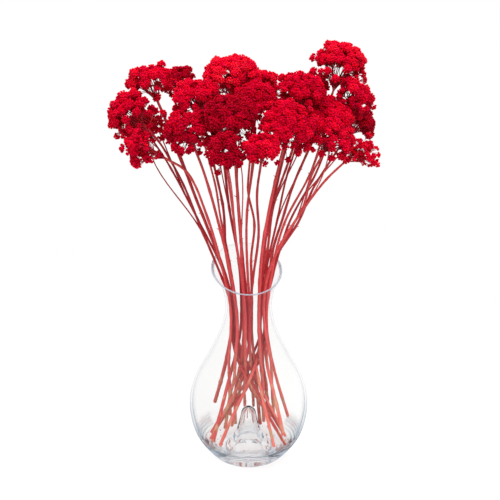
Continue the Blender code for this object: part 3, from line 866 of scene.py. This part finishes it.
# Lines that the glass follows, as radius and height in millimetres.
OUTER_WALL = [(42, 0), (58, 10.5), (83, 45), (92.3, 90), (84.5, 130), (63.5, 170), (45, 208), (37, 236)]
INNER_WALL = [(45, 20), (65, 26.5), (80.5, 48), (88.7, 90), (81.5, 130), (60.3, 170), (41.8, 208),
              (33.8, 236)]
PUNT_TOP = [(0, 84), (9.5, 78.5), (13.5, 63), (19, 45), (27, 30), (35, 22.5), (45, 20)]
PUNT_BELOW = [(34, 0), (27, 10), (20, 27), (13.5, 45), (9.5, 61), (6.2, 73), (0, 79.5)]
NECK = (36, 252)
MOUTH = (53.8, 307)
MOUTH_SHIFT = -2.8          # how far the mouth stands to the left of the foot's middle


def turned_line(points):
    """A smooth line through points of the section, in five steps from each to the next."""
    points = np.array(points, dtype=float)
    return smooth_between(points, points[:, 0], 5)[0]


def carafe_profile(wall):
    """The glass section in millimetres, from the punt's underside round to its top."""
    share = np.linspace(0, 1, 13)[1:, None]

    def flare(radius):
        """The mouth's side, from the neck up."""
        return np.hstack([radius + (MOUTH[0] - NECK[0]) * share ** 2,
                          NECK[1] + (MOUTH[1] - NECK[1]) * share])

    below = turned_line(PUNT_BELOW)[::-1]
    outer = np.vstack([turned_line(OUTER_WALL + [NECK]), flare(NECK[0])])
    inner = turned_line(INNER_WALL + [(NECK[0] - wall, NECK[1])])[1:]
    inner = np.vstack([turned_line(PUNT_TOP), inner, flare(NECK[0] - wall)])[::-1]
    middle = (outer[-1] + inner[0]) / 2
    lip = [middle + wall / 2 * np.array([math.cos(a), math.sin(a)])
           for a in np.radians([30, 60, 90, 120, 150])]
    return np.vstack([below, outer, lip, inner])


def carafe_mesh(settings):
    """Turn the section round the foot's middle, then slant the mouth."""
    shape = bmesh.new()
    corners = [shape.verts.new((r, 0, z)) for r, z in carafe_profile(settings.wall / MM)]
    edges = [shape.edges.new(pair) for pair in zip(corners, corners[1:])]
    bmesh.ops.spin(shape, geom=corners + edges, axis=(0, 0, 1), cent=(0, 0, 0), angle=math.tau,
                   steps=settings.sides, use_merge=True)
    bmesh.ops.remove_doubles(shape, verts=shape.verts, dist=1e-3)
    lip = shape.verts.layers.float.new("lip")
    lip_height = 1.5
    rise = math.tan(settings.slant) * MOUTH[0]
    for corner in shape.verts:
        x, y, z = corner.co
        corner[lip] = max(0, min(1, 1 + (z - MOUTH[1]) / lip_height))
        if z > NECK[1]:
            share = (z - NECK[1]) / (MOUTH[1] - NECK[1])
            top = MOUTH[1] + rise * math.sin(math.atan2(y, x) - settings.turn)
            corner.co = (x + MOUTH_SHIFT * share ** 2, y, NECK[1] + share * (top - NECK[1]))
        corner.co *= MM
    bmesh.ops.recalc_face_normals(shape, faces=shape.faces)
    mesh = bpy.data.meshes.new("glass_carafe")
    shape.to_mesh(mesh)
    shape.free()
    mesh.shade_smooth()
    return mesh


# ---- operators

FLOOR = ((-6, -6, 0), (6, -6, 0), (6, 6, 0), (-6, 6, 0))
LAMPS = {"key": ((0.7, -1.2, 1.9), (0, 0, 0.42), 1.1, 26),          # place, target, size, power
         "fill": ((-1.4, -0.9, 1.2), (0, 0, 0.40), 1.2, 8),
         "back": ((-0.3, 0.6, 2.1), (0, 0, 0.42), 1.2, 12)}
CAMERA_PLACE = (0.0022, -1.220, 0.625)
CAMERA_DOWN = 13.35         # how far the camera looks down, in degrees
CAMERA_LENS = 60


class YARROW_OT_stage(bpy.types.Operator):
    """Pale floor, soft lights, white surroundings and the camera"""
    bl_idname = "yarrow.stage"
    bl_label = "Stage"

    def execute(self, context):
        mesh = bpy.data.meshes.new("floor")
        mesh.from_pydata(FLOOR, [], [(0, 1, 2, 3)])
        mesh.materials.append(self.paper())
        floor = add_object("floor", mesh)
        context.scene.world = self.surroundings()
        for name, (spot, target, size, power) in LAMPS.items():
            self.lamp(name, spot, target, size, power)
        camera = add_object("camera", bpy.data.cameras.new("camera"))
        camera.location = CAMERA_PLACE
        camera.rotation_euler = (math.radians(90 - CAMERA_DOWN), 0, 0)
        camera.data.lens = CAMERA_LENS
        camera.data.sensor_width = 36
        context.scene.camera = camera
        context.scene.view_settings.view_transform = "Standard"
        return {"FINISHED"}

    def mirrored(self, nodes):
        """1 where a gloss mirrors the stage, 0 where the stage is seen through the glass."""
        path = nodes.node("ShaderNodeLightPath")
        return path.output("Is Glossy Ray") * (1 - path.output("Is Transmission Ray"))

    def paper(self):
        """White paper that fades out round the object and looks blue-grey in a gloss."""
        material, nodes = new_material("pale_floor")
        spot = nodes.spot()
        colour = nodes.mix(nodes.noise(spot, 3.0), (0.36, 0.36, 0.36), (0.38, 0.38, 0.38))
        paper = nodes.principled({
            "Base Color": colour, "Roughness": 0.8, "Specular IOR Level": 0.1,
            "Emission Color": (1, 1, 1, 1), "Emission Strength": 0.62})
        dim = nodes.node("ShaderNodeEmission", None, {"Color": (0.36, 0.45, 0.55, 1)})
        paper = nodes.blend(self.mirrored(nodes), paper, dim)
        open_air = nodes.node("ShaderNodeBsdfTransparent", None, {"Color": (1, 1, 1, 1)})
        away = nodes.vector("LENGTH", spot, {}, "Value")
        nodes.surface(nodes.blend(nodes.step(away, 0.25, 1.1), paper, open_air))
        return material

    def surroundings(self):
        """White behind the object, softer light on it, and blue-grey in the gloss of the glass."""
        world = bpy.data.worlds.new("surroundings")
        world.use_nodes = True
        nodes = Nodes(world.node_tree)
        way = nodes.node("ShaderNodeTexCoord").output("Generated")
        up = nodes.node("ShaderNodeSeparateXYZ", None, {0: way}).output("Z")
        overhead = nodes.step(up, -0.2, 0.9)
        gloss = nodes.mix(overhead, (0.52, 0.55, 0.59), (0.78, 0.78, 0.78))
        soft = nodes.mix(overhead, (0.40, 0.40, 0.40), (0.78, 0.78, 0.78))
        colour = nodes.mix(self.mirrored(nodes), (1.0, 1.0, 1.0), gloss)
        colour = nodes.mix(nodes.node("ShaderNodeLightPath").output("Is Diffuse Ray"), colour, soft)
        background = nodes.node("ShaderNodeBackground", None, {"Color": colour, "Strength": 1.0})
        nodes.node("ShaderNodeOutputWorld", None, {"Surface": background})
        return world

    def lamp(self, name, spot, target, size, power):
        light = bpy.data.lights.new(name, "AREA")
        light.shape = "DISK"
        light.size = size
        light.energy = power
        lamp = add_object(name, light)
        lamp.location = spot
        lamp.rotation_euler = (Vector(target) - Vector(spot)).to_track_quat("-Z", "Y").to_euler()
        lamp.visible_glossy = False
        lamp.visible_transmission = False


class YARROW_OT_carafe(bpy.types.Operator):
    """The glass carafe"""
    bl_idname = "yarrow.carafe"
    bl_label = "Carafe"

    def execute(self, context):
        mesh = carafe_mesh(context.scene.yarrow_carafe)
        mesh.materials.append(glass_finish(context.scene.yarrow_colours))
        place(add_object("glass_carafe", mesh), "glass", "vase")
        return {"FINISHED"}


class YARROW_OT_flowers(bpy.types.Operator):
    """Every stalk with its branches, and every head's florets"""
    bl_idname = "yarrow.flowers"
    bl_label = "Stalks and flower heads"

    def execute(self, context):
        flower = context.scene.yarrow_flower
        stalks = context.scene.yarrow_stalk
        colours = context.scene.yarrow_colours
        petals = floret_finish(colours)
        stems = stem_finish("dyed_stem", colours, colours.stalk, colours.stalk_deep)
        twigs = stem_finish("dyed_branch", colours, colours.branch, colours.branch_deep)
        kinds = floret_kinds(flower.floret_size, petals)
        florets = floret_growth(kinds)
        ribs = stalk_growth()
        for node in STALKS:
            number = node[-2:]
            rng = np.random.default_rng(flower.seed * 100 + int(number))
            middles, radii = stalk_line(node)
            head = Head(number, middles[-1])
            clusters = make_clusters(head, flower, rng)
            growth = COARSE_HEADS.get(number, 1.0)
            piece = grow("florets_" + number, dome_mesh("domes", clusters), florets, {
                "Spacing": flower.floret_spacing * growth, "Size": growth, "Sunk": 0.3 * flower.floret_size,
                "Pedicel": flower.pedicel_thickness / 2, "Seed": flower.seed + int(number),
                "Finish": petals})
            place(piece, "flowers", "flower_head_" + number)
            curve = stalk_curve(middles, radii, clusters, rng)
            stalk = grow("dried_stalk_" + number, curve, ribs, {
                "Ribs": stalks.rib_count, "Rib depth": stalks.rib_depth, "Dye": rng.uniform(0.0, 0.95),
                "Step": stalks.step, "Finish": stems})
            way = unit(middles[-1] - middles[-2])
            branches = branch_curve(head, clusters, way, radii[-1], flower.branch_thickness, rng)
            twig = grow("branches_" + number, branches, ribs, {
                "Ribs": 3, "Rib depth": 0.0, "Dye": rng.uniform(0.3, 0.8), "Step": stalks.step,
                "Finish": twigs})
            place(stalk, "stalk", node)
            place(twig, "stalk", "flower_head_" + number)
        crumbs = grow("fallen_crumbs", glass_floor_mesh(), crumb_growth(kinds), {
            "Density": flower.crumbs, "Seed": flower.seed, "Finish": petals})
        place(crumbs, "flowers")
        for kind in list(kinds.objects):
            bpy.data.objects.remove(kind, do_unlink=True)
        bpy.data.collections.remove(kinds)
        return {"FINISHED"}


class YARROW_PT_panel(bpy.types.Panel):
    """Sizes, colours and the buttons that make each piece"""
    bl_label = "Dried yarrow"
    bl_space_type = "VIEW_3D"
    bl_region_type = "UI"
    bl_category = "Yarrow"

    def draw(self, context):
        for group in (getattr(context.scene, name) for name in GROUPS):
            box = self.layout.box()
            for name in group.bl_rna.properties.keys():
                if name not in {"rna_type", "name"}:
                    box.prop(group, name)
        for operator in OPERATORS:
            self.layout.operator(operator.bl_idname)


OPERATORS = (YARROW_OT_stage, YARROW_OT_carafe, YARROW_OT_flowers)
GROUPS = {"yarrow_flower": FlowerSettings, "yarrow_stalk": StalkSettings,
          "yarrow_carafe": CarafeSettings, "yarrow_colours": ColourSettings}
CLASSES = (*GROUPS.values(), *OPERATORS, YARROW_PT_panel)


def register():
    for made in CLASSES:
        bpy.utils.register_class(made)
    for name, group in GROUPS.items():
        setattr(bpy.types.Scene, name, PointerProperty(type=group))


def unregister():
    for name in GROUPS:
        delattr(bpy.types.Scene, name)
    for made in reversed(CLASSES):
        bpy.utils.unregister_class(made)


def main():
    register()
    bpy.ops.yarrow.stage()
    bpy.ops.yarrow.carafe()
    bpy.ops.yarrow.flowers()


if __name__ == "__main__":
    main()
